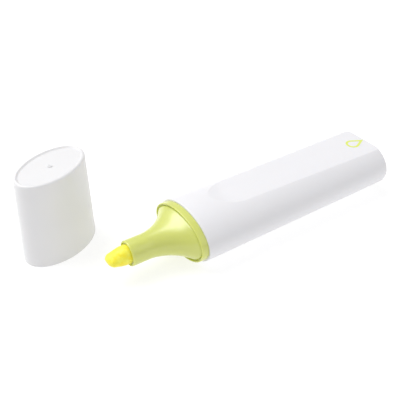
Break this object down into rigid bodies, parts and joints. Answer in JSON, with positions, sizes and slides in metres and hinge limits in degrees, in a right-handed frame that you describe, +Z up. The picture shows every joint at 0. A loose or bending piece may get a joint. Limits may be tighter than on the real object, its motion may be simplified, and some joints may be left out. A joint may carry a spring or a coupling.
{
  "type": "highlighter",
  "caption": "Wide oval highlighter pen lying on its belly with its pull-off cap standing beside the chisel nib.",
  "frame": {"origin": "middle of the flat rest strip under the barrel, on the table, halfway between the barrel's mouth and tail", "axes": "+X along the pen toward its tail, +Z up; the nib points along -X and the cap stands at +Y of it"},
  "size_m": [0.1178, 0.0496, 0.0286],
  "materials": {
    "white_plastic": "semi-gloss white polypropylene",
    "lime_plastic": "semi-gloss lime polypropylene",
    "inked_fibre": "bonded polyester fibre wet with yellow ink",
    "reservoir_fibre": "bundled polyester fibre wet with yellow ink",
    "clear_film": "thin polypropylene film wrap",
    "lime_print": "printed lime ink",
    "seal_plastic": "soft natural polyethylene"
  },
  "bodies": {
    "pen": {"barrel": "white_plastic", "nose": "lime_plastic", "nib": "inked_fibre", "reservoir": "reservoir_fibre", "reservoir_film": "clear_film", "ink_mark": "lime_print"},
    "cap": {"cap_shell": "white_plastic", "cap_sleeve": "seal_plastic"}
  },
  "joints": [
    {"name": "cap_lift", "type": "slide", "parent": "pen", "child": "cap", "axis": [0, 0, 1], "range_m": [0, 0.06]}
  ]
}
